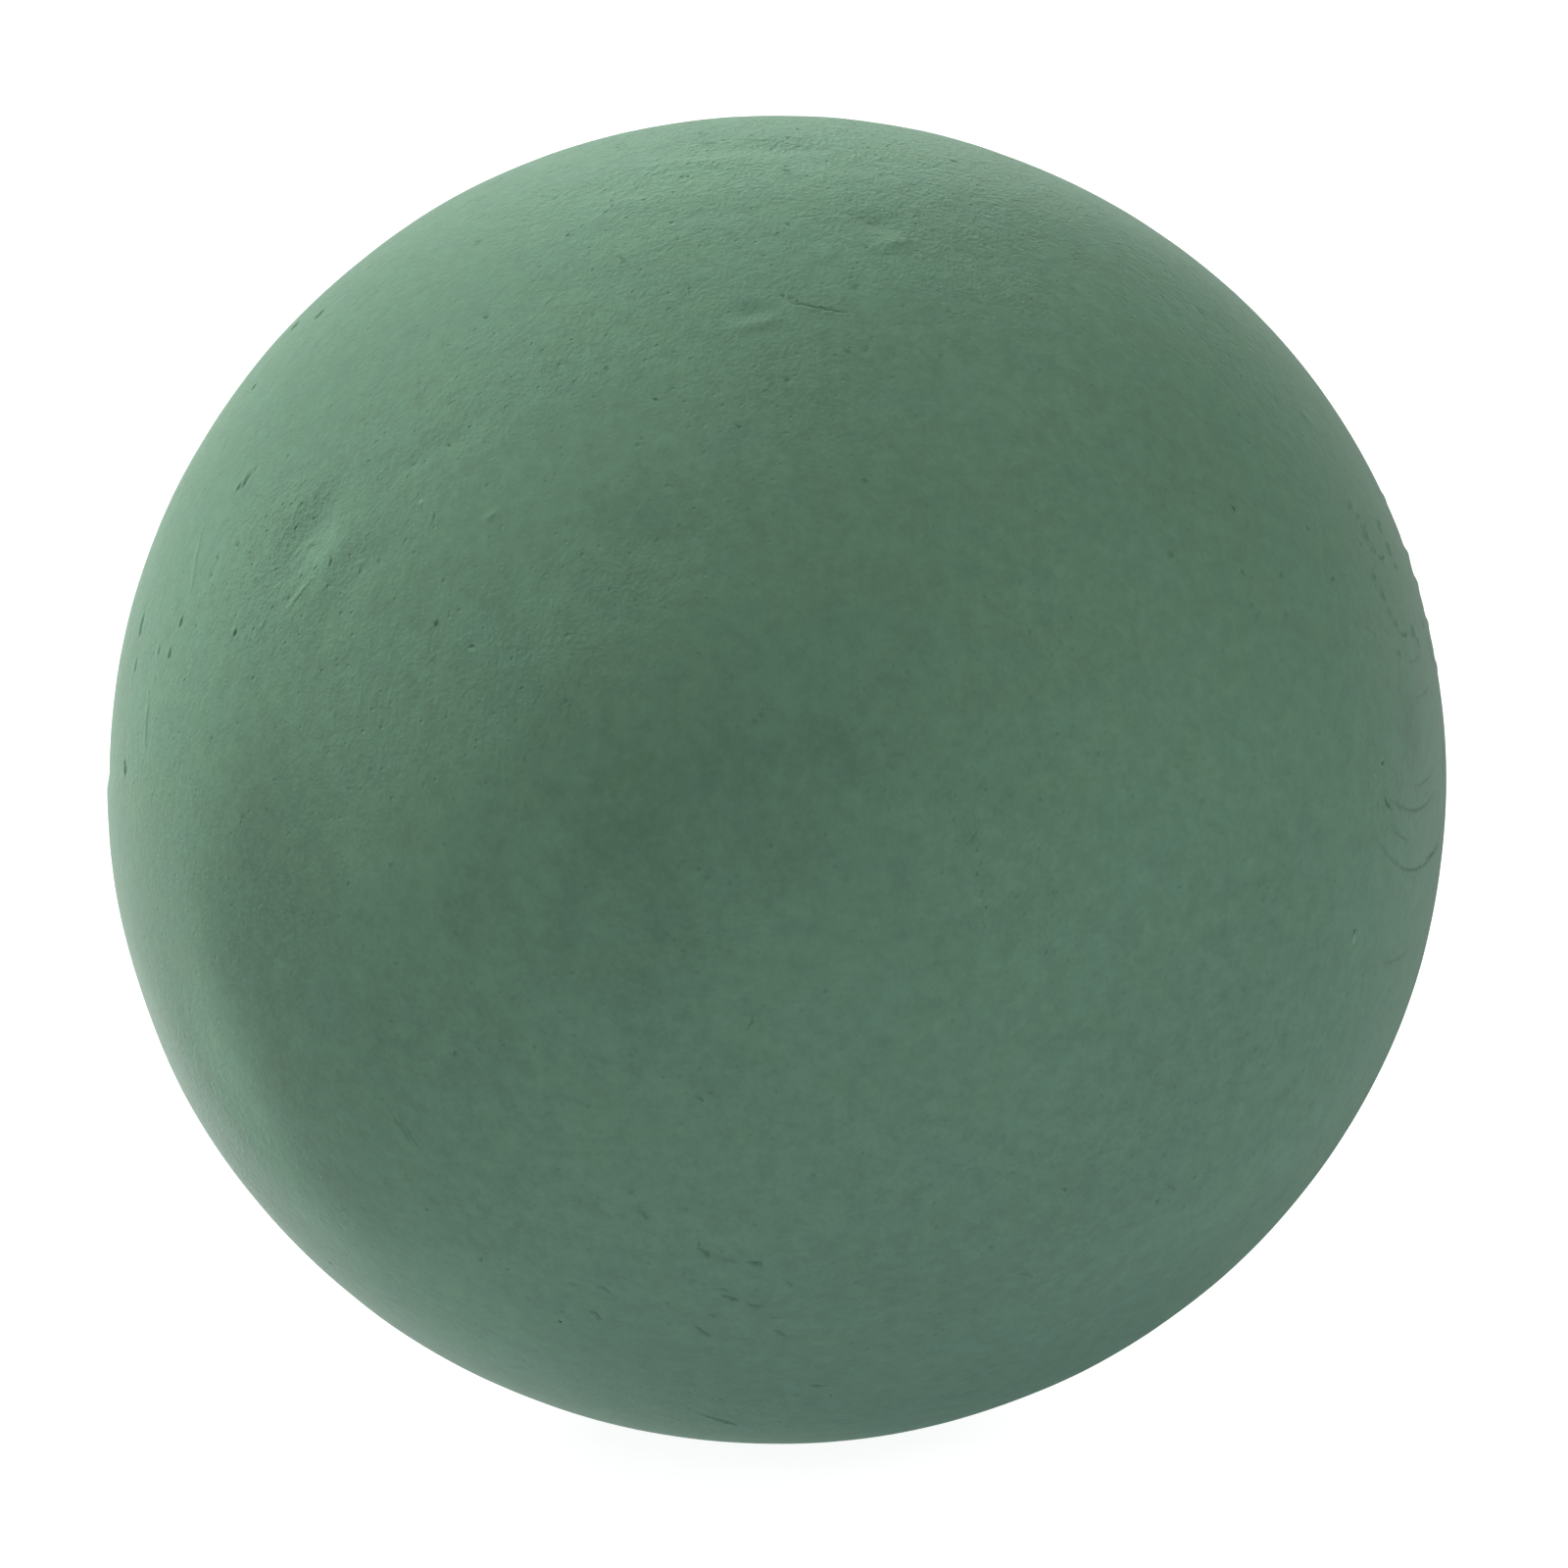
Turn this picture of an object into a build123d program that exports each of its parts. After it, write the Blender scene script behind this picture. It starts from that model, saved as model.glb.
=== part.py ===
from build123d import *
import os

# Floral foam ball: one block of green phenolic foam turned to a sphere, for flower arranging.
# Millimetres, +Z up, origin at the ball's centre, +X along the axis it was turned about.
# It is foam all the way through: it has no core, net, seam, hole or fastener.

# Driving dimensions
NOMINAL_DIAMETER = 120.0     # across the ball, square to the turning axis
OUT_OF_ROUND = 1.0088        # length along the turning axis over the nominal diameter

# Worked-out sizes
HALF_WIDTH = NOMINAL_DIAMETER / 2
HALF_LENGTH = HALF_WIDTH * OUT_OF_ROUND


def foam_ball():
    """Half an ellipse with its long side on +X, closed along that axis and turned about it."""
    rim = EllipticalCenterArc((0, 0), HALF_LENGTH, HALF_WIDTH, start_angle=0, arc_size=180)
    closing_line = Line(rim @ 1, rim @ 0)
    half_section = make_face([rim, closing_line])
    return revolve(half_section, axis=Axis.X)


def write(name, shape):
    """Write one sub-part to its own file, under its node's name."""
    shape.label = name
    export_step(shape, f"parts/{name}.step")


os.makedirs("parts", exist_ok=True)
write("foam_ball", foam_ball())
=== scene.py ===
import math

import bpy
import numpy as np
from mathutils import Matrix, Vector


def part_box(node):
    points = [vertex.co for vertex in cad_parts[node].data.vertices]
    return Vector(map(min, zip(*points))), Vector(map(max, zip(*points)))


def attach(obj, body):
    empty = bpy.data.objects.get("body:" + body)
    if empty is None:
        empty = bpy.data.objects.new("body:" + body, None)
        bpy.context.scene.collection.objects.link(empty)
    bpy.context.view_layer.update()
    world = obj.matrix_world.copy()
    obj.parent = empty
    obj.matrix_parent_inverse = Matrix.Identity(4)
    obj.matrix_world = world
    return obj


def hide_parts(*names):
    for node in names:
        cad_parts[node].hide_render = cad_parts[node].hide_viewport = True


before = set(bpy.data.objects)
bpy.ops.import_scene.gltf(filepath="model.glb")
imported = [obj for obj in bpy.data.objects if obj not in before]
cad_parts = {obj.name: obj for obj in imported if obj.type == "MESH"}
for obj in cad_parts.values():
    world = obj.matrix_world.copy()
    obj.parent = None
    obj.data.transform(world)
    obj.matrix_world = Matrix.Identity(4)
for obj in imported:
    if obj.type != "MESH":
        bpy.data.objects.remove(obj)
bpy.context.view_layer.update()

# Floral foam ball: a turned ball of dry, matte green foam with the handling marks such a ball picks up.
# Metres, +Z up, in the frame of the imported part. Marks are written in millimetres and degrees:
# longitude 0 is the front (-Y) and grows towards +X, latitude 0 is the equator and 90 is the top.

MM = 0.001
NODE = "foam_ball"
SKIN = "foam_ball_skin"
lowest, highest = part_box(NODE)
CENTRE = np.array((lowest + highest) / 2)
HALF_SIZE = np.array((highest - lowest) / 2)     # half the length along X, half the widths along Y and Z
RADIUS_MM = float(HALF_SIZE[2]) / MM


# ---------------------------------------------------------------- places and headings on the ball

def directions(longitude, latitude):
    """Outward, east and north unit vectors at a place on the ball."""
    lon, lat = math.radians(longitude), math.radians(latitude)
    outward = (math.sin(lon) * math.cos(lat), -math.cos(lon) * math.cos(lat), math.sin(lat))
    east = (math.cos(lon), math.sin(lon), 0.0)
    north = (-math.sin(lon) * math.sin(lat), math.cos(lon) * math.sin(lat), math.cos(lat))
    return np.array(outward), np.array(east), np.array(north)


# ---------------------------------------------------------------- marks
# Each mark is a dictionary: its place, how far it reaches, how fine a mesh it needs, a function that gives
# the height it adds, in millimetres, at places (east, north) millimetres from its middle, how much painted
# shade darkens its hollows, and how pale its crumb makes the foam.

SOFT_STEP_MM = 0.5       # a mesh this coarse is fine enough for a soft hollow


# painted shade: a mark's hollow is darkened by the amount it is given, and more the deeper it is
def mark(place, reach, fine, height, painted_shade=0.0, pale=0.0):
    """A mark at place, a (longitude, latitude). reach is its radius and fine the mesh's step there, in
    millimetres."""
    return {"at": place, "reach": reach, "fine": fine, "height": height, "painted_shade": painted_shade, "pale": pale}


def turned(east, north, turn):
    """Millimetres along and to the left of a heading, given in degrees anticlockwise from east."""
    cos, sin = math.cos(math.radians(turn)), math.sin(math.radians(turn))
    return east * cos + north * sin, north * cos - east * sin


def fade(share):
    """1 in the middle of a stroke, 0 at its ends, for a share from -1 to 1 along it."""
    return np.clip(1 - share ** 2, 0, 1)


def bell(distance, width):
    """1 on a line, falling smoothly to almost nothing by its width away."""
    return np.exp(-(2 * distance / width) ** 2)


# cuts and arcs darken their grooves with painted shade as well as cutting them in
def cut(longitude, latitude, length, turn, width=0.31, depth=0.15, lip=None, bend=0.0, painted_shade=0.35):
    """A short cut, deepest towards its end, with a soft lip pushed up on the right of its heading. bend is
    how far its middle bows out to the left, in millimetres."""
    if lip is None:
        lip = 0.75 * depth

    def height(east, north):
        along, across = turned(east, north, turn)
        share = 2 * along / length
        across = across - bend * fade(share)
        taper = fade(share) * (0.85 + 0.35 * share)
        return taper * (lip * bell(across + 0.8 * width, 1.3 * width) - depth * bell(across, width))

    return mark((longitude, latitude), length / 2 + 3 * width, width / 3, height, painted_shade)


def arc(longitude, latitude, radius, middle, sweep, width=0.28, depth=0.05, lip=0.03, painted_shade=0.3):
    """A thin curved groove pressed in by a tool's edge, on a circle round the given place. middle is the
    bearing of its deepest point and sweep its angle, in degrees."""

    def height(east, north):
        bearing = np.degrees(np.arctan2(north, east)) - middle
        bearing = (bearing + 180) % 360 - 180
        off = np.hypot(east, north) - radius
        return fade(2 * bearing / sweep) * (lip * bell(off + width, 1.6 * width) - depth * bell(off, width))

    return mark((longitude, latitude), radius + 3 * width, width / 2.6, height, painted_shade)


def pit(longitude, latitude, width=0.36, depth=0.10, painted_shade=0.4):
    """An open cell: a small round-bottomed hole, darkened inside with painted shade."""

    def height(east, north):
        return -depth * np.clip(1 - (2 * np.hypot(east, north) / width) ** 2, 0, 1)

    return mark((longitude, latitude), width, width / 4, height, painted_shade)


def crumb(longitude, latitude, width=0.17, raised=0.05):
    """A pale crumb of foam stuck to the skin."""

    def height(east, north):
        return raised * bell(np.hypot(east, north), width)

    return mark((longitude, latitude), 1.5 * width, width / 3, height, pale=0.5)


def dent(longitude, latitude, length, width, turn, depth):
    """A soft hollow, or with a negative depth a soft swelling."""

    def height(east, north):
        along, across = turned(east, north, turn)
        return -depth * np.exp(-(2 * along / length) ** 2 - (2 * across / width) ** 2)

    return mark((longitude, latitude), max(length, width), SOFT_STEP_MM, height)


def ridge(longitude, latitude, length, turn, width=0.6, raised=0.07, drop=0.0):
    """A thin raised line where pressed foam has folded. drop lowers the side to the right of its heading."""

    def height(east, north):
        along, across = turned(east, north, turn)
        hollow = np.clip(-across / width, 0, 1) * np.exp(-(across / (6 * width)) ** 2)
        return fade(2 * along / length) * (raised * bell(across, width) - drop * hollow)

    reach = length / 2 + (12 * width if drop else 2 * width)
    return mark((longitude, latitude), reach, width / 3, height)


FRONT_MARKS = [
    # thumb crease, upper left: a pressed hollow, the folds round its lower end and the hollow beside them
    dent(-47.4, 27.2, 9, 4.6, -120, 0.44), dent(-53, 26, 4, 2.6, -110, 0.10),
    dent(-43.4, 26.0, 5, 2.6, -112, -0.10), ridge(-47.3, 25.6, 3.4, -112, width=0.7, raised=0.10),
    dent(-44.2, 30.2, 5, 2.4, -100, -0.10), dent(-38.5, 26, 6, 3, 45, 0.10),
    dent(-41, 21.8, 7, 4.0, -101, 0.16), dent(-46, 33, 5, 3.5, 40, 0.06),
    ridge(-48.2, 25.7, 1.3, 62, width=0.5, raised=0.09), ridge(-46.8, 26.5, 2.0, 15, width=0.6, raised=0.10),
    ridge(-45.8, 22.2, 4.0, -121, width=0.5, raised=0.09, drop=0.12),
    ridge(-49.8, 25.8, 1.0, 103, width=0.45), ridge(-48.6, 31.0, 1.9, 74, width=0.45, raised=0.06),
    ridge(-47.2, 30.7, 2.2, 70, width=0.45), ridge(-45.9, 30.5, 1.9, 68, width=0.4, raised=0.06),
    ridge(-50.4, 28.9, 2.0, -80, width=0.5), ridge(-52.2, 26.8, 1.6, -60, width=0.5, raised=0.06),
    ridge(-51.7, 31.5, 1.6, 11, width=0.5, raised=0.06), ridge(-52.7, 23, 1.8, -63, width=0.5, raised=0.06),
    ridge(-49.4, 19.4, 1.6, -112, width=0.4), ridge(-39.8, 25.4, 1.5, 21, width=0.5, raised=0.07),
    cut(-39.3, 24.9, 0.9, -110, depth=0.07, painted_shade=0.2), ridge(-26.9, 30.4, 1.6, 36, width=0.6),
    dent(-44, 34.5, 6, 3, 30, -0.12), dent(-35, 36, 9, 3, 40, 0.12),
    ridge(-35.4, 34.6, 1.6, 38, width=0.9, raised=0.08),
    # nicks near the crease
    cut(-61.1, 30.8, 1.9, -98, width=0.32, depth=0.16, painted_shade=0.4), cut(-61.9, 30.0, 1.1, -85),
    cut(-52.9, 18.3, 0.8, -80), cut(-60.5, 31.8, 0.8, -80, depth=0.08),
    cut(-61.4, 31.2, 1.2, -92, depth=0.08, painted_shade=0.2),
    cut(-33, 30, 1.2, -70, depth=0.05, bend=0.15, painted_shade=0.15), crumb(-34.9, 31.0, 0.18, 0.08),
    pit(-40.9, 28.2, 0.26, 0.14, painted_shade=0.9), pit(-34.6, 30.6, 0.26),
    pit(-59.9, 22.3, 0.4), pit(-57.1, 25.1), pit(-59.9, 23.8), pit(-34.2, 36.3), pit(-26.1, 19.6, 0.34, 0.12),
    # above the middle: a pressed hollow with a soft lower lip, a thin cut and a soft pit
    dent(-2.4, 50.6, 3.2, 1.4, 18, 0.20), dent(-2.2, 49.2, 3.2, 1.0, 18, -0.17),
    cut(4.6, 51.2, 5.8, -16, width=0.3, depth=0.13, lip=0.08, bend=-0.15, painted_shade=0.6),
    pit(1.6, 52.1, 0.4, 0.1), pit(0.8, 52.3, 0.34, 0.08), pit(2.6, 51.8, 0.34, 0.08),
    dent(17, 61.6, 3.2, 2.4, -5, 0.27), dent(18.2, 58.7, 3.2, 1.3, 15, -0.22),
    cut(20.9, 59.4, 0.9, -16, depth=0.10), dent(5.8, 59.4, 2.2, 1.6, 0, 0.08),
    dent(7.5, 57.5, 2.4, 1.4, 10, -0.06),
    cut(6.9, 62.5, 6.5, 8, width=0.3, depth=0.04, lip=0.04, bend=0.3, painted_shade=0.1),
    # top
    cut(-37.4, 79.6, 1.2, 68, width=0.5, depth=0.14), cut(-64.2, 75.3, 1.3, 46, width=0.5),
    cut(-62.4, 69.7, 1.1, 30), cut(-26.2, 76.8, 2.2, 6, width=0.5), cut(2.1, 70.6, 1.0, 12, width=0.5),
    cut(-70.9, 62.9, 1.2, 48, width=0.5), cut(-52.5, 57.4, 1.1, 16, depth=0.14), cut(-22.9, 56.3, 0.9, -32),
    cut(-10, 78, 5, 0, width=0.6, depth=0.07), cut(8, 76, 6, -4, width=0.6, depth=0.06),
    dent(-10, 63, 9, 3, 5, 0.10), dent(-35, 66, 10, 3, 10, 0.12), dent(0, 76, 12, 4, 0, 0.16),
    dent(-20, 72, 14, 3, 8, -0.12), dent(12, 72, 12, 3, -6, 0.12), dent(-30, 52, 8, 4, 30, 0.08),
    dent(-20, 58, 8, 3, 20, -0.06), pit(52.6, 71.4, 0.5, 0.14, painted_shade=0.7), pit(1.6, 61.6), pit(10.4, 53.4),
    # left side
    cut(-73.3, 16.4, 2.7, -72, width=0.4, depth=0.15), cut(-72, 13, 1.6, -80, depth=0.09),
    cut(-63.5, 15.2, 1.3, -86, painted_shade=0.2), cut(-62.8, 18.0, 1.3, -84, painted_shade=0.2),
    cut(-66.1, 15.1, 1.1, -75, depth=0.10, painted_shade=0.2),
    cut(-71, 4.5, 1.8, -60, width=0.4, depth=0.17, painted_shade=0.5, bend=0.2),
    ridge(-66, 8.8, 5.5, -80, width=0.45, raised=0.09), ridge(-64.4, 23.5, 9, -62, width=0.4, raised=0.08),
    cut(-81.5, 44.5, 1.7, -53), cut(-75.5, 38.3, 0.8, -90), cut(-74.5, 46.5, 1.5, -90),
    dent(-54, -4, 20, 12, 85, -0.22), dent(-58, -27, 16, 8, -40, -0.14),
    # lower left: a double scratch
    cut(-34, -20.5, 4.8, -65, width=0.26, depth=0.08), cut(-33.2, -21, 4.2, -65, width=0.26, depth=0.07),
    # bottom: hooked ticks and a scratch
    cut(-12, -27, 1.6, -50, depth=0.12, bend=0.1), cut(-7, -31, 1.7, -46, depth=0.19, bend=0.25),
    cut(-4.5, -31.8, 1.6, -12, depth=0.09), cut(-2.2, -32.2, 1.6, -14, depth=0.21, bend=0.2),
    cut(-17.5, -36, 1.4, -42, depth=0.17, bend=0.25), cut(-20.5, -35.6, 1.0, -30, depth=0.09),
    cut(-19.5, -39.5, 1.5, -70, depth=0.20, bend=0.22), cut(-8, -41, 2.1, -58, depth=0.17, bend=-0.18),
    cut(-6.8, -38.8, 0.9, -60, depth=0.11), cut(-5.5, -35.4, 1.4, -8, depth=0.09),
    cut(-4.8, -36.3, 1.9, -28, depth=0.21), cut(-2.4, -37.2, 1.9, -18, depth=0.16, bend=-0.1),
    cut(0, -41.3, 1.6, -38, depth=0.19, bend=0.25), cut(-0.5, -39, 1.8, 3, depth=0.08),
    cut(1, -34.5, 1.4, -56, depth=0.10), cut(5, -50.5, 1.6, -14, depth=0.17, bend=0.15),
    cut(-9.5, -59, 5.1, -52, width=0.4, depth=0.16), dent(-21, -52, 4, 3, 0, 0.08),
    # lower right: two hooked ticks
    cut(25, -35.5, 2.3, -28, depth=0.09, bend=0.2), cut(38, -27.5, 2.6, -34, depth=0.08, bend=0.2),
    # right side: two matching trails of nicks, each ending in a hook, and a line along them
    cut(68.0, 27.6, 0.9, -130), cut(68.9, 26.5, 0.8, -125), cut(69.0, 25.1, 2.2, -122),
    cut(69.1, 23.5, 1.0, -100, width=0.38), cut(70.4, 22.7, 2.4, -8, depth=0.16, bend=-0.3),
    cut(74.3, 24.9, 2.0, -135), cut(74.2, 22.9, 1.8, -125, width=0.42, depth=0.17, painted_shade=0.5),
    cut(74.4, 21.3, 0.8, -119), cut(66.7, 21.4, 0.7, -110), cut(67.3, 19.9, 1.7, -107),
    cut(67.6, 18.2, 1.1, -110), cut(68.5, 17.1, 1.0, -104, width=0.38),
    cut(69.8, 16.1, 2.6, -8, width=0.36, depth=0.16, bend=-0.35),
    cut(73.2, 15.8, 1.3, -95, width=0.46, depth=0.18, painted_shade=0.5),
    cut(79.6, 15.4, 0.8, -104, width=0.5), cut(74.2, 14.6, 1.1, -111), cut(67.1, 14.7, 0.8, -87, width=0.42),
    cut(80.4, 12.9, 4.0, -66, width=0.5, depth=0.15), ridge(70, 35.8, 2.4, -43, width=1.0, raised=0.09),
    # right edge: small notches
    cut(86.9, 21.5, 5, 0, width=1.0, depth=0.20, lip=0.14, painted_shade=0.1),
    cut(86.5, 18.8, 5, 4, width=0.9, depth=0.18, lip=0.12, painted_shade=0.1),
    cut(85.9, 15.3, 5, -4, width=0.8, depth=0.16, lip=0.10, painted_shade=0.1),
    cut(87.6, 26.5, 4, 2, width=0.8, depth=0.12, lip=0.08, painted_shade=0.1),
    cut(85.2, 11.5, 4, 0, width=0.7, depth=0.12, lip=0.08, painted_shade=0.1),
    # right side: a run of nail-like arcs, open at the top
    arc(71.5, 30, 17, -90, 22, depth=0.07), arc(71, 27, 17, -88, 26, depth=0.07),
    arc(68.5, 20, 17, -90, 24, depth=0.08), arc(68, 18, 17, -97, 52, depth=0.10),
    arc(68.5, 12.8, 17, -98, 84, depth=0.10), cut(61.9, 0.7, 6.3, -27, depth=0.09, lip=0.04, bend=-0.5),
    cut(72.5, -2.9, 8.0, 1, width=0.4, depth=0.13, lip=0.05, bend=-0.4),
    arc(65, 5.5, 17, -92, 26, depth=0.08), cut(79, 4, 3.4, -120, width=0.5),
    cut(59.5, 3.2, 1.8, -48, width=0.44, depth=0.16, lip=0.08, painted_shade=0.6),
    # single open cells and crumbs
    pit(46.9, 29.5, 0.34, 0.16, painted_shade=0.8), crumb(54.5, 32.5), pit(37, 26.2, 0.4), pit(44.7, 24.1),
    pit(49.7, 23.4, 0.44),
    pit(57.9, 22.2, 0.5, 0.12), pit(48.7, 20.2, 0.44), pit(56.8, 26.8), cut(45, 20.5, 1.4, 30, depth=0.05),
    pit(59.3, 6.6, 0.40, 0.16, painted_shade=0.9), crumb(57.6, 5.8), pit(54.8, -6.6, 0.34, 0.12, painted_shade=0.7),
    crumb(54.8, -7.3, 0.24, 0.08), pit(0.9, 43.4, 0.42, 0.11), pit(33, 0, 0.4, 0.06),
    cut(-2.1, -8.9, 1.9, -110, depth=0.08, lip=0.02), cut(-6.2, -15.6, 0.9, -32, depth=0.10),
    pit(-0.2, -14.9, 0.3, 0.05), cut(15.2, 5.3, 1.4, -120, depth=0.09, lip=0.03, painted_shade=0.4),
    pit(42, -2, 0.44, 0.07), pit(41, -27), pit(-34, -29), pit(-30, -34), pit(-24, -41, 0.38, 0.16, painted_shade=0.8),
    pit(10.3, 46.6, 0.42, 0.11), pit(-19, 44.2, 0.42, 0.11), pit(-13, 41.5), pit(-38, 48.8, 0.42, 0.11),
    pit(-18.2, 61.6, 0.42, 0.11), pit(7.9, 46.2), crumb(21.6, 51.3), pit(-35.1, 59.2), pit(-26.4, 64.8),
]


PIT_COUNT, CRUMB_COUNT = 170, 9                    # all over the ball
CUT_COUNT, ARC_COUNT, DENT_COUNT = 54, 9, 8        # on the back, where nothing is known


def random_place(chance, west=-180, east=180, tallest=1.0):
    """A longitude and a latitude, spread evenly over the skin between the meridians west and east. tallest
    is the greatest height above or below the equator, as a share of the radius."""
    return chance.uniform(west, east), math.degrees(math.asin(chance.uniform(-tallest, tallest)))


def scattered_marks(seed=5):
    """Open cells and crumbs all over, and the same sort of cuts, arcs and dents on the back."""
    chance = np.random.default_rng(seed)
    marks = []
    for _ in range(PIT_COUNT):
        place = random_place(chance)
        marks.append(pit(*place, width=chance.uniform(0.24, 0.42), depth=0.03 + 0.1 * chance.random() ** 3))
    for _ in range(CRUMB_COUNT):
        place = random_place(chance)
        marks.append(crumb(*place, width=chance.uniform(0.14, 0.20), raised=chance.uniform(0.03, 0.06)))
    for _ in range(CUT_COUNT):
        place = random_place(chance, 92, 268, 0.95)
        length, turn = chance.uniform(0.9, 2.4), chance.uniform(-150, -20)
        marks.append(cut(*place, length, turn, depth=chance.uniform(0.04, 0.13),
                         bend=chance.uniform(-0.1, 0.25), painted_shade=chance.uniform(0.2, 0.6)))
    for _ in range(ARC_COUNT):
        place = chance.uniform(110, 250), chance.uniform(-50, 55)
        marks.append(arc(*place, radius=chance.uniform(8, 17), middle=chance.uniform(-130, -50),
                         sweep=chance.uniform(20, 50)))
    for _ in range(DENT_COUNT):
        place = chance.uniform(95, 265), chance.uniform(-60, 65)
        length, width = chance.uniform(3, 8), chance.uniform(2, 4)
        turn, depth = chance.uniform(0, 180), chance.uniform(0.06, 0.15)
        marks.append(dent(*place, length, width, turn, depth))
    return marks


# ---------------------------------------------------------------- the ball's mesh

BASE_SPLITS = 7          # halvings of an icosahedron's edges: triangles about 0.6 mm on a side
FINE_ROUNDS = 3          # further halvings close to the marks


def icosahedron():
    """The 12 corners of an icosahedron on the unit sphere, and its 20 triangles facing outward."""
    golden = (1 + math.sqrt(5)) / 2
    points = [(0, a, b * golden) for a in (-1, 1) for b in (-1, 1)]
    points += [(a, b * golden, 0) for a in (-1, 1) for b in (-1, 1)]
    points += [(b * golden, 0, a) for a in (-1, 1) for b in (-1, 1)]
    points = np.array(points, float)
    gaps = np.linalg.norm(points[:, None] - points[None], axis=2)
    near = (gaps > 0.1) & (gaps < 2.1)
    triangles = []
    for i in range(12):
        for j in range(i + 1, 12):
            for k in range(j + 1, 12):
                if near[i, j] and near[j, k] and near[i, k]:
                    outward = np.dot(np.cross(points[j] - points[i], points[k] - points[i]), points[i]) > 0
                    triangles.append((i, j, k) if outward else (i, k, j))
    return points / np.linalg.norm(points[0]), np.array(triangles)


def halve_edges(points, triangles, wanted):
    """Put a point in the middle of every edge that wanted(middles, lengths in mm) picks, and divide the
    triangles on it to suit, so that no gap opens between fine and coarse parts."""
    pairs = np.sort(triangles[:, [[0, 1], [1, 2], [2, 0]]].reshape(-1, 2), axis=1)
    keys, edge_of = np.unique(pairs[:, 0] * len(points) + pairs[:, 1], return_inverse=True)
    edge_of = edge_of.reshape(-1, 3)
    start, end = points[keys // len(points)], points[keys % len(points)]
    middles = start + end
    middles /= np.linalg.norm(middles, axis=1)[:, None]
    picked = wanted(middles, np.linalg.norm(start - end, axis=1) * RADIUS_MM)
    new_index = np.where(picked, len(points) + np.cumsum(picked) - 1, -1)
    points = np.concatenate([points, middles[picked]])

    marked = picked[edge_of]
    count = marked.sum(1)
    # turn each triangle so that a single halved edge comes first and a single whole edge comes last
    first = np.select([count == 1, count == 2], [marked.argmax(1), (marked.argmin(1) + 1) % 3], 0)
    order = (first[:, None] + np.arange(3)) % 3
    corners = np.take_along_axis(triangles, order, 1)
    middle = np.take_along_axis(new_index[edge_of], order, 1)
    a, b, c = corners.T
    ab, bc, ca = middle.T

    def pick(which, *columns):
        return np.stack([column[which] for column in columns], 1)

    none, one, two, three = (count == n for n in range(4))
    return points, np.concatenate([
        pick(none, a, b, c),
        pick(one, a, ab, c), pick(one, ab, b, c),
        pick(two, ab, b, bc), pick(two, a, ab, bc), pick(two, a, bc, c),
        pick(three, a, ab, ca), pick(three, ab, b, bc), pick(three, ca, bc, c), pick(three, ab, bc, ca),
    ])


def swell(points_mm, size, seed, waves=56):
    """Smooth random hills and hollows, about size millimetres from hill to hill, with a root mean square
    of 1."""
    chance = np.random.default_rng(seed)
    heading = chance.normal(size=(waves, 3))
    heading /= np.linalg.norm(heading, axis=1)[:, None]
    pitch = 2 * math.pi / (size * chance.uniform(0.75, 1.35, waves))
    phase = chance.uniform(0, 2 * math.pi, waves)
    total = np.zeros(len(points_mm))
    for k in range(waves):
        total += np.cos(points_mm @ (heading[k] * pitch[k]) + phase[k])
    return total * math.sqrt(2 / waves)


WOBBLE_MM = 0.04         # how far the foam's cells pull a mark's edge this way and that
WOBBLE_SIZE_MM = 0.9     # the length over which they do so
DARKEST_MM = 0.07        # depth at which a mark's painted shade is as dark as it gets
PALEST_MM = 0.04         # height at which a crumb is as pale as it gets
SLIGHT_MM = 0.008        # height too small to need a finer mesh


def under_mark(unit_points, given):
    """Indices of the points within a mark's reach, and their millimetres east and north of its middle,
    wobbled so that its edges are ragged."""
    outward, east, north = directions(*given["at"])
    reach = math.cos(min(given["reach"] * 1.1 / RADIUS_MM, 1.5))
    near = np.nonzero(unit_points @ outward > reach)[0]
    offset = unit_points[near] * RADIUS_MM
    wobble_east = WOBBLE_MM * swell(offset, WOBBLE_SIZE_MM, 31, 20)
    wobble_north = WOBBLE_MM * swell(offset, WOBBLE_SIZE_MM, 32, 20)
    return near, offset @ east + wobble_east, offset @ north + wobble_north


def heights(unit_points, marks):
    """Height that the marks add at each point, in millimetres, how much painted shade darkens their hollows,
    and how pale their crumbs make it.
    """
    height, painted_shade, pale = np.zeros((3, len(unit_points)))
    for each in marks:
        near, east, north = under_mark(unit_points, each)
        here = each["height"](east, north)
        height[near] += here
        # painted shade, darker the deeper the hollow
        painted_shade[near] = np.maximum(painted_shade[near], each["painted_shade"] * np.clip(-here / DARKEST_MM, 0, 1))
        pale[near] = np.maximum(pale[near], each["pale"] * np.clip(here / PALEST_MM, 0, 1))
    return height, painted_shade, pale


def fine_enough(marks):
    """A test for halve_edges that picks edges too long for the marks they cross."""

    def wanted(middles, lengths):
        limit = np.full(len(middles), np.inf)
        for each in marks:
            near, east, north = under_mark(middles, each)
            if not len(near):
                continue
            step = each["fine"]
            touched = np.abs(each["height"](east, north))
            for de, dn in ((step, 0), (-step, 0), (0, step), (0, -step)):
                touched = np.maximum(touched, np.abs(each["height"](east + de, north + dn)))
            limit[near] = np.where(touched > SLIGHT_MM, np.minimum(limit[near], step * 1.4), limit[near])
        return lengths > limit

    return wanted


def every_edge(middles, lengths):
    """A test for halve_edges that picks all edges."""
    return np.ones(len(middles), bool)


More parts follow.
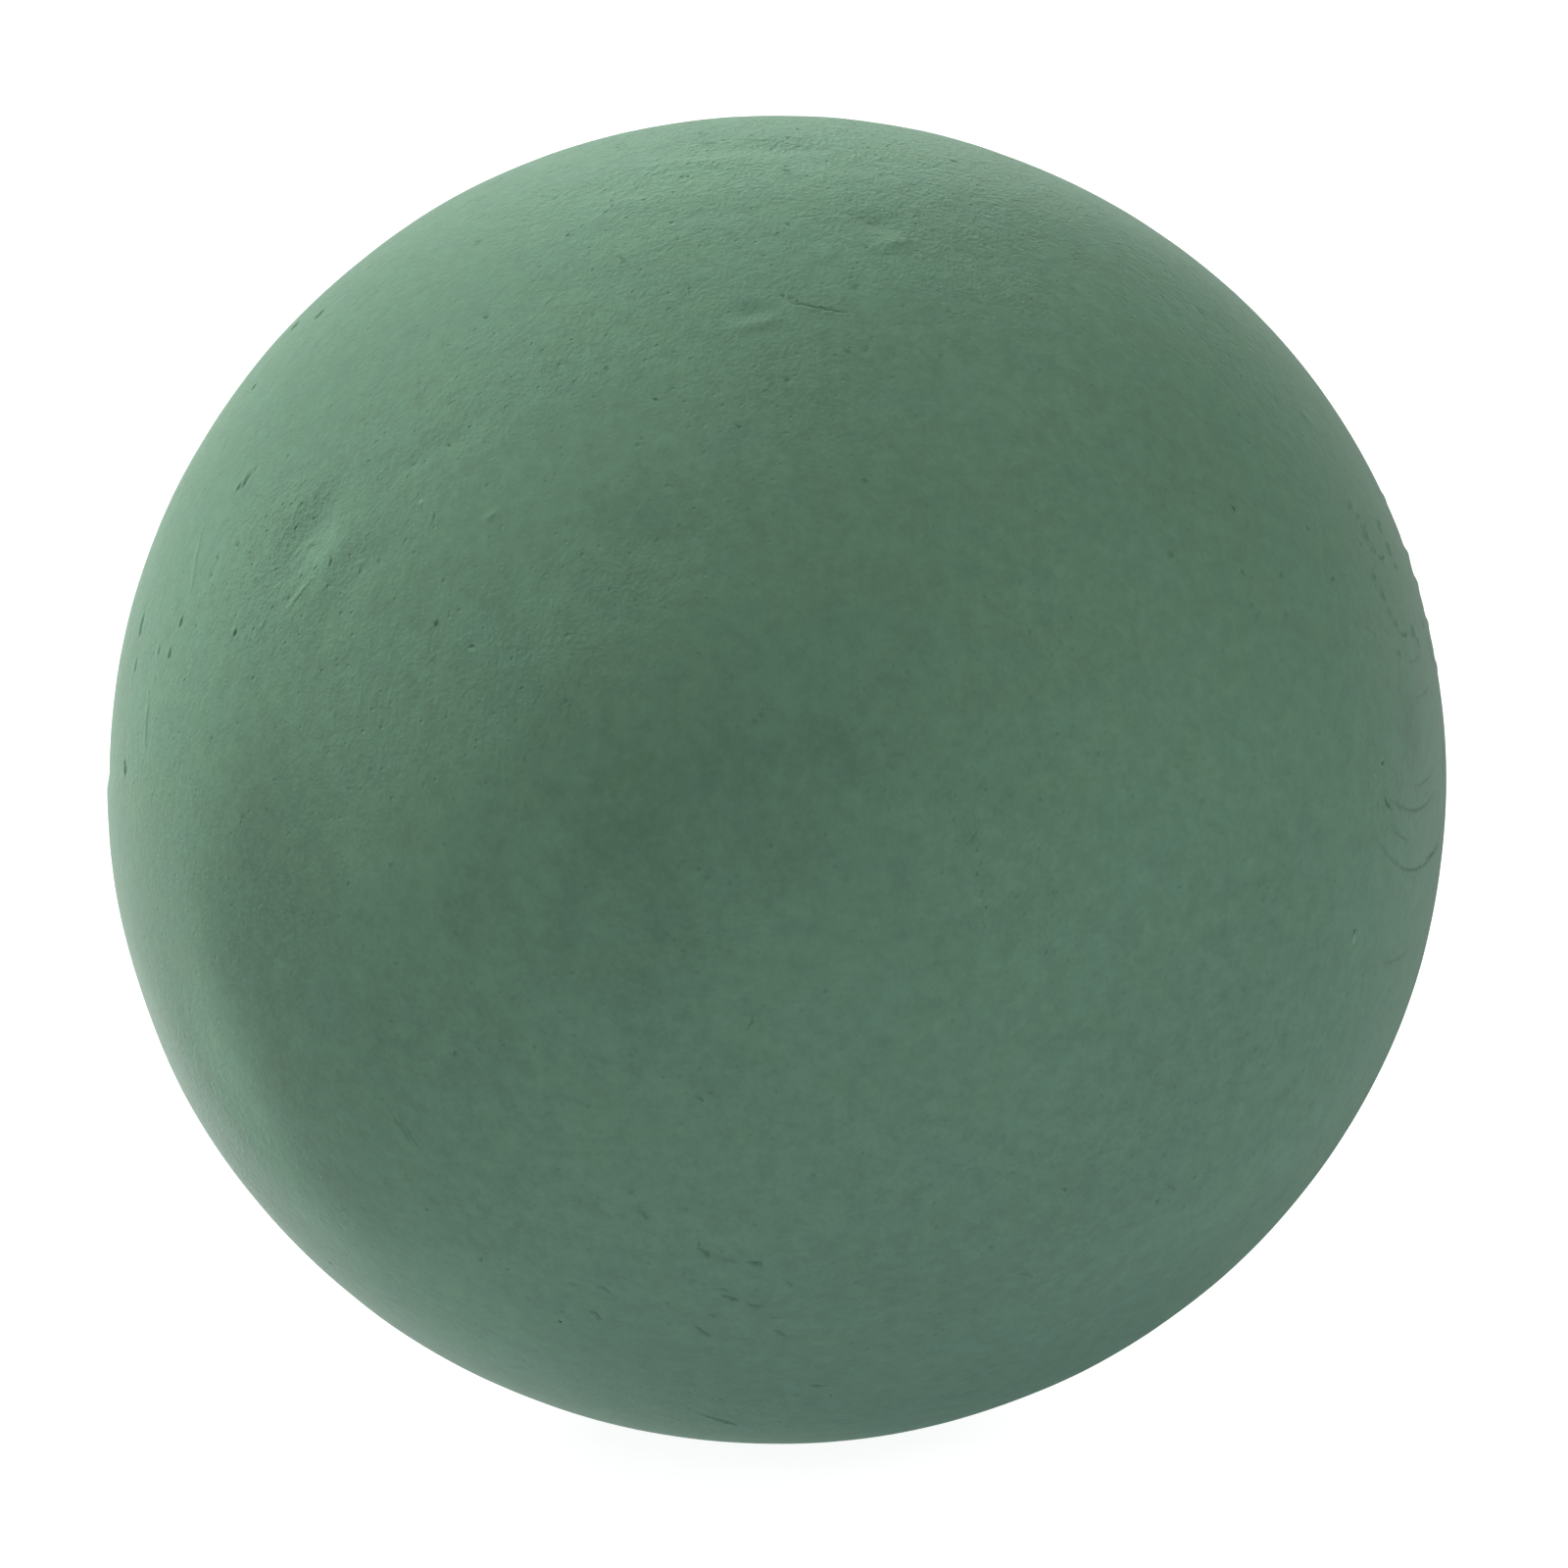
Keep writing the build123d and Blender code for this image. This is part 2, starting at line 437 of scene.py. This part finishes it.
def flat_patch(unit_points):
    """Height of a shallow flat on the left side, in millimetres, where the ball was once set down. Its lower
    edge is crisp, and it fades out towards its other sides."""
    depth, half_width, half_height = 0.26, 9, 11
    lower_edge, edge_width, deepest = -10, 1.5, -6
    outward, east, north = directions(-86, 10)
    offset = unit_points * RADIUS_MM
    across, up = offset @ east, offset @ north
    facing = unit_points @ outward > 0.7
    inside = np.clip((up - lower_edge) / edge_width, 0, 1)
    above = np.clip(up - deepest, 0, None)
    return -depth * facing * inside * np.exp(-(across / half_width) ** 2 - (above / half_height) ** 2)


# patches of paler and darker colour: some are the foam's own tone, while the left, top and crease ones are
# painted light and shade
TONES_AND_PAINTED_LIGHT = [
    # longitude, latitude, length and width in degrees, heading, and how much paler (or darker) the foam is
    # front
    (-7, 24, 20, 14, 0, 0.04), (-24, 17, 44, 14, 42, 0.06), (-33, 4, 18, 12, 40, 0.05),
    (-11.7, 7.3, 13, 9, -5, -0.03), (-2, 12, 19, 6, 5, -0.05), (-10.3, -0.7, 11, 7, -84, -0.06),
    (-12, 1, 48, 20, 30, -0.04), (0, -6, 20, 14, -70, 0.04), (-31, -12, 20, 14, 0, -0.03),
    (-12, 31, 9, 4, 0, -0.11), (31, -22, 44, 18, 45, -0.05), (37, -5, 28, 20, 20, -0.05),
    (24, 24, 50, 18, 0, 0.03), (11, -36, 18, 12, 0, -0.03), (8, 45, 34, 10, 10, -0.04),
    (28, 43, 16, 8, 0, 0.03), (27, -12, 20, 14, 0, -0.02),
    # left: a dark oval of painted shade, and a pale band of painted light between it and the edge, where the
    # low light from the left and behind falls
    (-45, 1, 14, 22, 8, -0.18), (-47, -18, 16, 6, -84, -0.08), (-43, -29, 12, 5, -52, -0.08),
    (-55.5, -19, 20, 10, -68, 0.20), (-55, -22, 22, 7, -80, 0.14), (-51.5, -34, 13, 8, -66, 0.12),
    (-60, -27, 18, 8, -53, 0.08), (-45, -46, 26, 10, -36, 0.14), (-36, -40, 24, 12, -58, 0.13),
    (-34, -37, 20, 8, -5, 0.05), (-60, 22, 34, 18, -60, 0.08), (-68, 6, 34, 10, -82, 0.12),
    (-59, 10, 26, 14, -72, 0.08),
    # the crease: a painted highlight on its fold and painted shade in its hollow
    (-44.5, 25.4, 7, 4.2, -112, 0.16), (-50, 27.6, 9, 2.6, -120, -0.05),
    # top: painted light, paler over the top where the light from above and behind falls, and one darker patch
    (36, 62, 34, 14, -20, -0.07), (-10, 84, 50, 40, 0, 0.17), (-10, 71, 24, 8, 10, 0.07),
    (-11, 66, 40, 18, 0, 0.04),
    # right
    (56, 40, 30, 20, -50, 0.03), (55, -28, 34, 9, 30, 0.09), (66.3, 8.5, 6, 5, 80, -0.15),
    # back
    (150, 20, 60, 30, 20, -0.05), (-150, -20, 50, 26, 60, 0.04), (115, -25, 40, 20, 0, 0.04),
]


def patch(unit_points, longitude, latitude, length, width, turn):
    """1 in the middle of a soft oval on the ball, falling to 0 outside it. Its sizes are in degrees."""
    outward, east, north = directions(longitude, latitude)
    along, across = turned(unit_points @ east, unit_points @ north, turn)
    half_length, half_width = math.sin(math.radians(length / 2)), math.sin(math.radians(width / 2))
    oval = np.exp(-(along / half_length) ** 2 - (across / half_width) ** 2)
    return oval * (unit_points @ outward > 0)


def tone_and_painted_light(unit_points):
    """How much paler or darker the foam is drawn: the broad, faint patches, partly painted light and shade,
    and small blotches in front.
    """
    total = sum(amount * patch(unit_points, *place) for *place, amount in TONES_AND_PAINTED_LIGHT)
    points_mm = unit_points * RADIUS_MM
    blotches = 0.018 * swell(points_mm, 8, 17) + 0.017 * swell(points_mm, 4, 18)
    return total + blotches * patch(unit_points, -14, 3, 60, 40, 25)


def roughness(unit_points):
    """How strong the fine relief is: most on the top, more on the left, less where the ball was handled."""
    rough = 0.58 + 0.12 * swell(unit_points * RADIUS_MM, 24, 16)
    rough += 2.1 * patch(unit_points, -10, 88, 50, 50, 0) + 0.2 * patch(unit_points, -75, 20, 90, 60, 0)
    rough += 0.6 * patch(unit_points, -50, 27, 15, 12, -60) - 0.3 * patch(unit_points, 70, 20, 60, 60, 0)
    rough -= 0.3 * patch(unit_points, 4, 38, 50, 24, 0)
    return np.clip(rough, 0.3, 2.6)


def low_swells(points_mm):
    """Height of the broad swells that a turned and handled ball has all over, in millimetres."""
    return 0.10 * swell(points_mm, 62, 11) + 0.020 * swell(points_mm, 16, 12)


def small_swells(points_mm):
    """Height of the smaller swells, in millimetres, where the foam is rough."""
    return 0.008 * swell(points_mm, 7, 13) + 0.0026 * swell(points_mm, 3.2, 14)


def foam_ball():
    """The ball as one fine mesh, with what its material needs to know kept at each point."""
    marks = FRONT_MARKS + scattered_marks()
    points, triangles = icosahedron()
    for _ in range(BASE_SPLITS):
        points, triangles = halve_edges(points, triangles, every_edge)
    for _ in range(FINE_ROUNDS):
        points, triangles = halve_edges(points, triangles, fine_enough(marks))

    points_mm = points * RADIUS_MM
    height, painted_shade, pale = heights(points, marks)
    rough = roughness(points)
    height += low_swells(points_mm)
    height += rough * small_swells(points_mm)
    height += flat_patch(points)

    normal = points / HALF_SIZE
    normal /= np.linalg.norm(normal, axis=1)[:, None]
    places = CENTRE + points * HALF_SIZE + normal * (height * MM)[:, None]

    mesh = bpy.data.meshes.new(SKIN)
    mesh.from_pydata(places, [], triangles)
    mesh.polygons.foreach_set("use_smooth", np.ones(len(triangles), bool))
    for name, values in (("painted_shade", painted_shade), ("pale", pale), ("rough", rough), ("tone_and_painted_light", tone_and_painted_light(points))):
        kept = mesh.attributes.new(name, "FLOAT", "POINT")
        kept.data.foreach_set("value", values.astype(np.float32))
    mesh.update()
    made = bpy.data.objects.new(SKIN, mesh)
    made.data.materials.append(foam_material())
    bpy.context.scene.collection.objects.link(made)
    return made


# ---------------------------------------------------------------- materials

GREEN_YELLOWER = (0.107, 0.205, 0.131, 1)
GREEN_BLUER = (0.103, 0.203, 0.137, 1)
# the dark green of painted shade, in open cells, pinholes and the hollows of marks
PAINTED_SHADE_GREEN = (0.035, 0.080, 0.050, 1)
CRUMB_GREEN = (0.30, 0.42, 0.34, 1)
MOTTLE = 0.24            # how much the faint blotches lighten and darken the greens
SPECKLE_AND_SHADE = 0.09           # how much the fine grain lightens and darkens them, paler on its rises and darker in its hollows: partly the foam's speckle, partly painted shade of the grain's relief
HOLE_SHADE = 0.3         # how much painted shade darkens the larger open cells
PINHOLE_SHADE = 0.2      # how much the pinholes do
FINE_RELIEF_MM = 0.09    # height of the grain, and depth of the pinholes
HOLE_RELIEF_MM = 0.04    # depth of the larger open cells


def feed(tree, socket, value):
    """Set a socket to a number or colour, or link it to the socket that is given as the value."""
    if isinstance(value, bpy.types.NodeSocket):
        tree.links.new(value, socket)
    else:
        socket.default_value = value


def node(tree, kind, **inputs):
    """A shader node whose inputs are fed by name."""
    made = tree.nodes.new(kind)
    for name, value in inputs.items():
        feed(tree, made.inputs[name], value)
    return made


def noise(tree, place, size_mm, detail, roughness):
    """Random noise between 0 and 1, in lumps about size_mm across."""
    made = node(tree, "ShaderNodeTexNoise", Vector=place, Scale=1 / (size_mm * MM), Detail=detail,
                Roughness=roughness)
    return made.outputs["Fac"]


def spread(tree, value, low, high, to_low=0.0, to_high=1.0):
    """Stretch what lies between low and high to between to_low and to_high, and hold it there beyond."""
    made = node(tree, "ShaderNodeMapRange", Value=value)
    for name, number in (("From Min", low), ("From Max", high), ("To Min", to_low), ("To Max", to_high)):
        made.inputs[name].default_value = number
    return made.outputs["Result"]


def mix_colour(tree, share, first, second):
    """The first colour where share is 0 and the second where it is 1. The numbers are the colour sockets'."""
    made = tree.nodes.new("ShaderNodeMix")
    made.data_type = "RGBA"
    for number, value in ((0, share), (6, first), (7, second)):
        feed(tree, made.inputs[number], value)
    return made.outputs[2]


def attribute(tree, name):
    """A number kept at each point of the mesh."""
    made = tree.nodes.new("ShaderNodeAttribute")
    made.attribute_name = name
    return made.outputs["Fac"]


def arithmetic(tree, operation, first, second):
    made = tree.nodes.new("ShaderNodeMath")
    made.operation = operation
    for socket, value in zip(made.inputs, (first, second)):
        feed(tree, socket, value)
    return made.outputs[0]


def open_cells(tree, place, spacing_mm, radius_mm, closed_share):
    """Tiny round holes at random places: 1 at the bottom of each open one and 0 between them."""
    cells = node(tree, "ShaderNodeTexVoronoi", Vector=place, Scale=1 / (spacing_mm * MM))
    radius = radius_mm / spacing_mm
    bowl = spread(tree, cells.outputs["Distance"], radius, 0.2 * radius)
    open_one = spread(tree, cells.outputs["Color"], closed_share, closed_share + 0.1)
    return arithmetic(tree, "MULTIPLY", bowl, open_one)


def foam_material():
    """Dry phenolic foam: a fine, dusty, open-celled skin in two close greens, with painted shade where it is
    hollow.
    """
    material = bpy.data.materials.new("dry_floral_foam")
    material.use_nodes = True
    tree = material.node_tree
    surface = tree.nodes["Principled BSDF"]
    place = tree.nodes.new("ShaderNodeTexCoord").outputs["Object"]
    pinholes = open_cells(tree, place, spacing_mm=0.9, radius_mm=0.22, closed_share=0.6)
    holes = open_cells(tree, place, spacing_mm=2.2, radius_mm=0.30, closed_share=0.5)
    grain = noise(tree, place, size_mm=0.36, detail=1.3, roughness=0.6)
    scales = noise(tree, place, size_mm=0.9, detail=1.0, roughness=0.5)
    mottle = noise(tree, place, size_mm=1.8, detail=2.0, roughness=0.9)
    drift = noise(tree, place, size_mm=6, detail=3.0, roughness=0.7)
    rough = attribute(tree, "rough")

    # colour: the two greens drift into each other, paler and darker, with painted light and shade from the
    # broad patches, and painted shade darkest in the hollows
    mottled = spread(tree, mottle, 0, 1, 1 - MOTTLE, 1 + MOTTLE)
    # the grain's speckle follows its relief: painted shade in its hollows as well as speckle
    speckle_and_shade = arithmetic(tree, "MULTIPLY", spread(tree, grain, 0, 1, -SPECKLE_AND_SHADE, SPECKLE_AND_SHADE), rough)
    brightness = arithmetic(tree, "ADD", mottled, attribute(tree, "tone_and_painted_light"))
    brightness = arithmetic(tree, "ADD", brightness, speckle_and_shade)
    colour = mix_colour(tree, spread(tree, drift, 0.3, 0.7), GREEN_YELLOWER, GREEN_BLUER)
    colour = node(tree, "ShaderNodeHueSaturation", Color=colour, Value=brightness).outputs["Color"]
    # painted shade in the larger open cells and the pinholes
    colour = mix_colour(tree, arithmetic(tree, "MULTIPLY", holes, HOLE_SHADE), colour, PAINTED_SHADE_GREEN)
    shaded = arithmetic(tree, "MULTIPLY", arithmetic(tree, "MULTIPLY", pinholes, PINHOLE_SHADE), rough)
    colour = mix_colour(tree, shaded, colour, PAINTED_SHADE_GREEN)
    # painted shade in the marks' hollows
    colour = mix_colour(tree, attribute(tree, "painted_shade"), colour, PAINTED_SHADE_GREEN)
    colour = mix_colour(tree, attribute(tree, "pale"), colour, CRUMB_GREEN)
    tree.links.new(colour, surface.inputs["Base Color"])

    tree.links.new(spread(tree, mottle, 0.3, 0.7, 0.82, 0.9), surface.inputs["Roughness"])
    surface.inputs["Specular IOR Level"].default_value = 0.22
    surface.inputs["Sheen Weight"].default_value = 0.04
    surface.inputs["Sheen Roughness"].default_value = 0.5

    # relief too fine for the mesh, in millimetres
    relief = arithmetic(tree, "SUBTRACT", arithmetic(tree, "ADD", grain, scales), pinholes)
    relief = arithmetic(tree, "MULTIPLY", arithmetic(tree, "MULTIPLY", relief, FINE_RELIEF_MM), rough)
    relief = arithmetic(tree, "SUBTRACT", relief, arithmetic(tree, "MULTIPLY", holes, HOLE_RELIEF_MM))
    bump = node(tree, "ShaderNodeBump", Height=relief, Strength=1.0, Distance=MM)
    tree.links.new(bump.outputs["Normal"], surface.inputs["Normal"])
    return material


def floor_material():
    """A plain near-white studio table."""
    material = bpy.data.materials.new("pale_floor")
    material.use_nodes = True
    surface = material.node_tree.nodes["Principled BSDF"]
    surface.inputs["Base Color"].default_value = (0.3, 0.3, 0.3, 1)
    surface.inputs["Roughness"].default_value = 0.9
    surface.inputs["Specular IOR Level"].default_value = 0.0
    surface.inputs["Emission Color"].default_value = (1, 1, 1, 1)
    surface.inputs["Emission Strength"].default_value = 0.9
    return material


# ---------------------------------------------------------------- studio

def floor():
    """A large square table top, level with the lowest point of the ball."""
    reach = 6.0
    z = float(lowest.z)
    mesh = bpy.data.meshes.new("studio_floor")
    corners = [(-reach, -reach, z), (reach, -reach, z), (reach, reach, z), (-reach, reach, z)]
    mesh.from_pydata(corners, [], [(0, 1, 2, 3)])
    made = bpy.data.objects.new("studio_floor", mesh)
    made.data.materials.append(floor_material())
    bpy.context.scene.collection.objects.link(made)
    made.visible_diffuse = False      # the table neither tints the ball from below nor hides the low lights
    made.visible_glossy = False
    made.visible_shadow = False


def lamp(name, longitude, latitude, strength, softness, colour=(1, 1, 1)):
    """A far soft light on the given side of the ball. softness is how wide it looks from there, in
    degrees."""
    data = bpy.data.lights.new(name, "SUN")
    data.energy = strength
    data.color = colour
    data.angle = math.radians(softness)
    made = bpy.data.objects.new(name, data)
    outward, _, _ = directions(longitude, latitude)
    made.rotation_euler = Vector(outward).to_track_quat("Z", "Y").to_euler()
    bpy.context.scene.collection.objects.link(made)


def surround():
    """A white room. It looks white, and adds little light of its own."""
    world = bpy.data.worlds.new("white_room")
    bpy.context.scene.world = world
    world.use_nodes = True
    tree = world.node_tree
    seen = tree.nodes["Background"]
    seen.inputs["Color"].default_value = (1, 1, 1, 1)
    seen.inputs["Strength"].default_value = 1.0
    lit = tree.nodes.new("ShaderNodeBackground")
    lit.inputs["Color"].default_value = (1, 1, 1, 1)
    lit.inputs["Strength"].default_value = 0.02
    mix = tree.nodes.new("ShaderNodeMixShader")
    tree.links.new(tree.nodes.new("ShaderNodeLightPath").outputs["Is Camera Ray"], mix.inputs[0])
    tree.links.new(lit.outputs[0], mix.inputs[1])
    tree.links.new(seen.outputs[0], mix.inputs[2])
    tree.links.new(mix.outputs[0], tree.nodes["World Output"].inputs["Surface"])


def camera():
    """A long lens, 10 degrees above the ball's middle. The ball fills 85.5 % of the picture's width."""
    elevation = math.radians(10)
    fill = 0.855
    data = bpy.data.cameras.new("camera")
    data.lens = 135
    data.sensor_width = 36
    data.shift_x = 0.0040             # the ball stands a hair left of the picture's middle, and above it
    data.shift_y = -0.0021
    half_view = data.sensor_width / 2 / data.lens
    distance = float(HALF_SIZE[0]) / math.sin(math.atan(fill * half_view))
    made = bpy.data.objects.new("camera", data)
    made.location = Vector(CENTRE) + Vector((0, -math.cos(elevation), math.sin(elevation))) * distance
    made.rotation_euler = (math.pi / 2 - elevation, 0, 0)
    bpy.context.scene.collection.objects.link(made)
    bpy.context.scene.camera = made


camera()
surround()
floor()
lamp("key", -120, 40, 3.6, 28)
lamp("left_rim", -147, -21, 3.0, 36)
lamp("left", -90, -2, 1.2, 28)
lamp("top_rim", 180, 30, 1.6, 28)
lamp("right", 86, 34, 1.24, 28)
lamp("right_rim", 143, 1, 0.92, 24)
lamp("front", -1, 31, 1.62, 28)
lamp("low_fill", 42, -66, 2.2, 28, colour=(0.98, 0.97, 1.12))
bpy.context.scene.view_settings.view_transform = "Standard"

ball = foam_ball()
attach(ball, "root")
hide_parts(NODE)
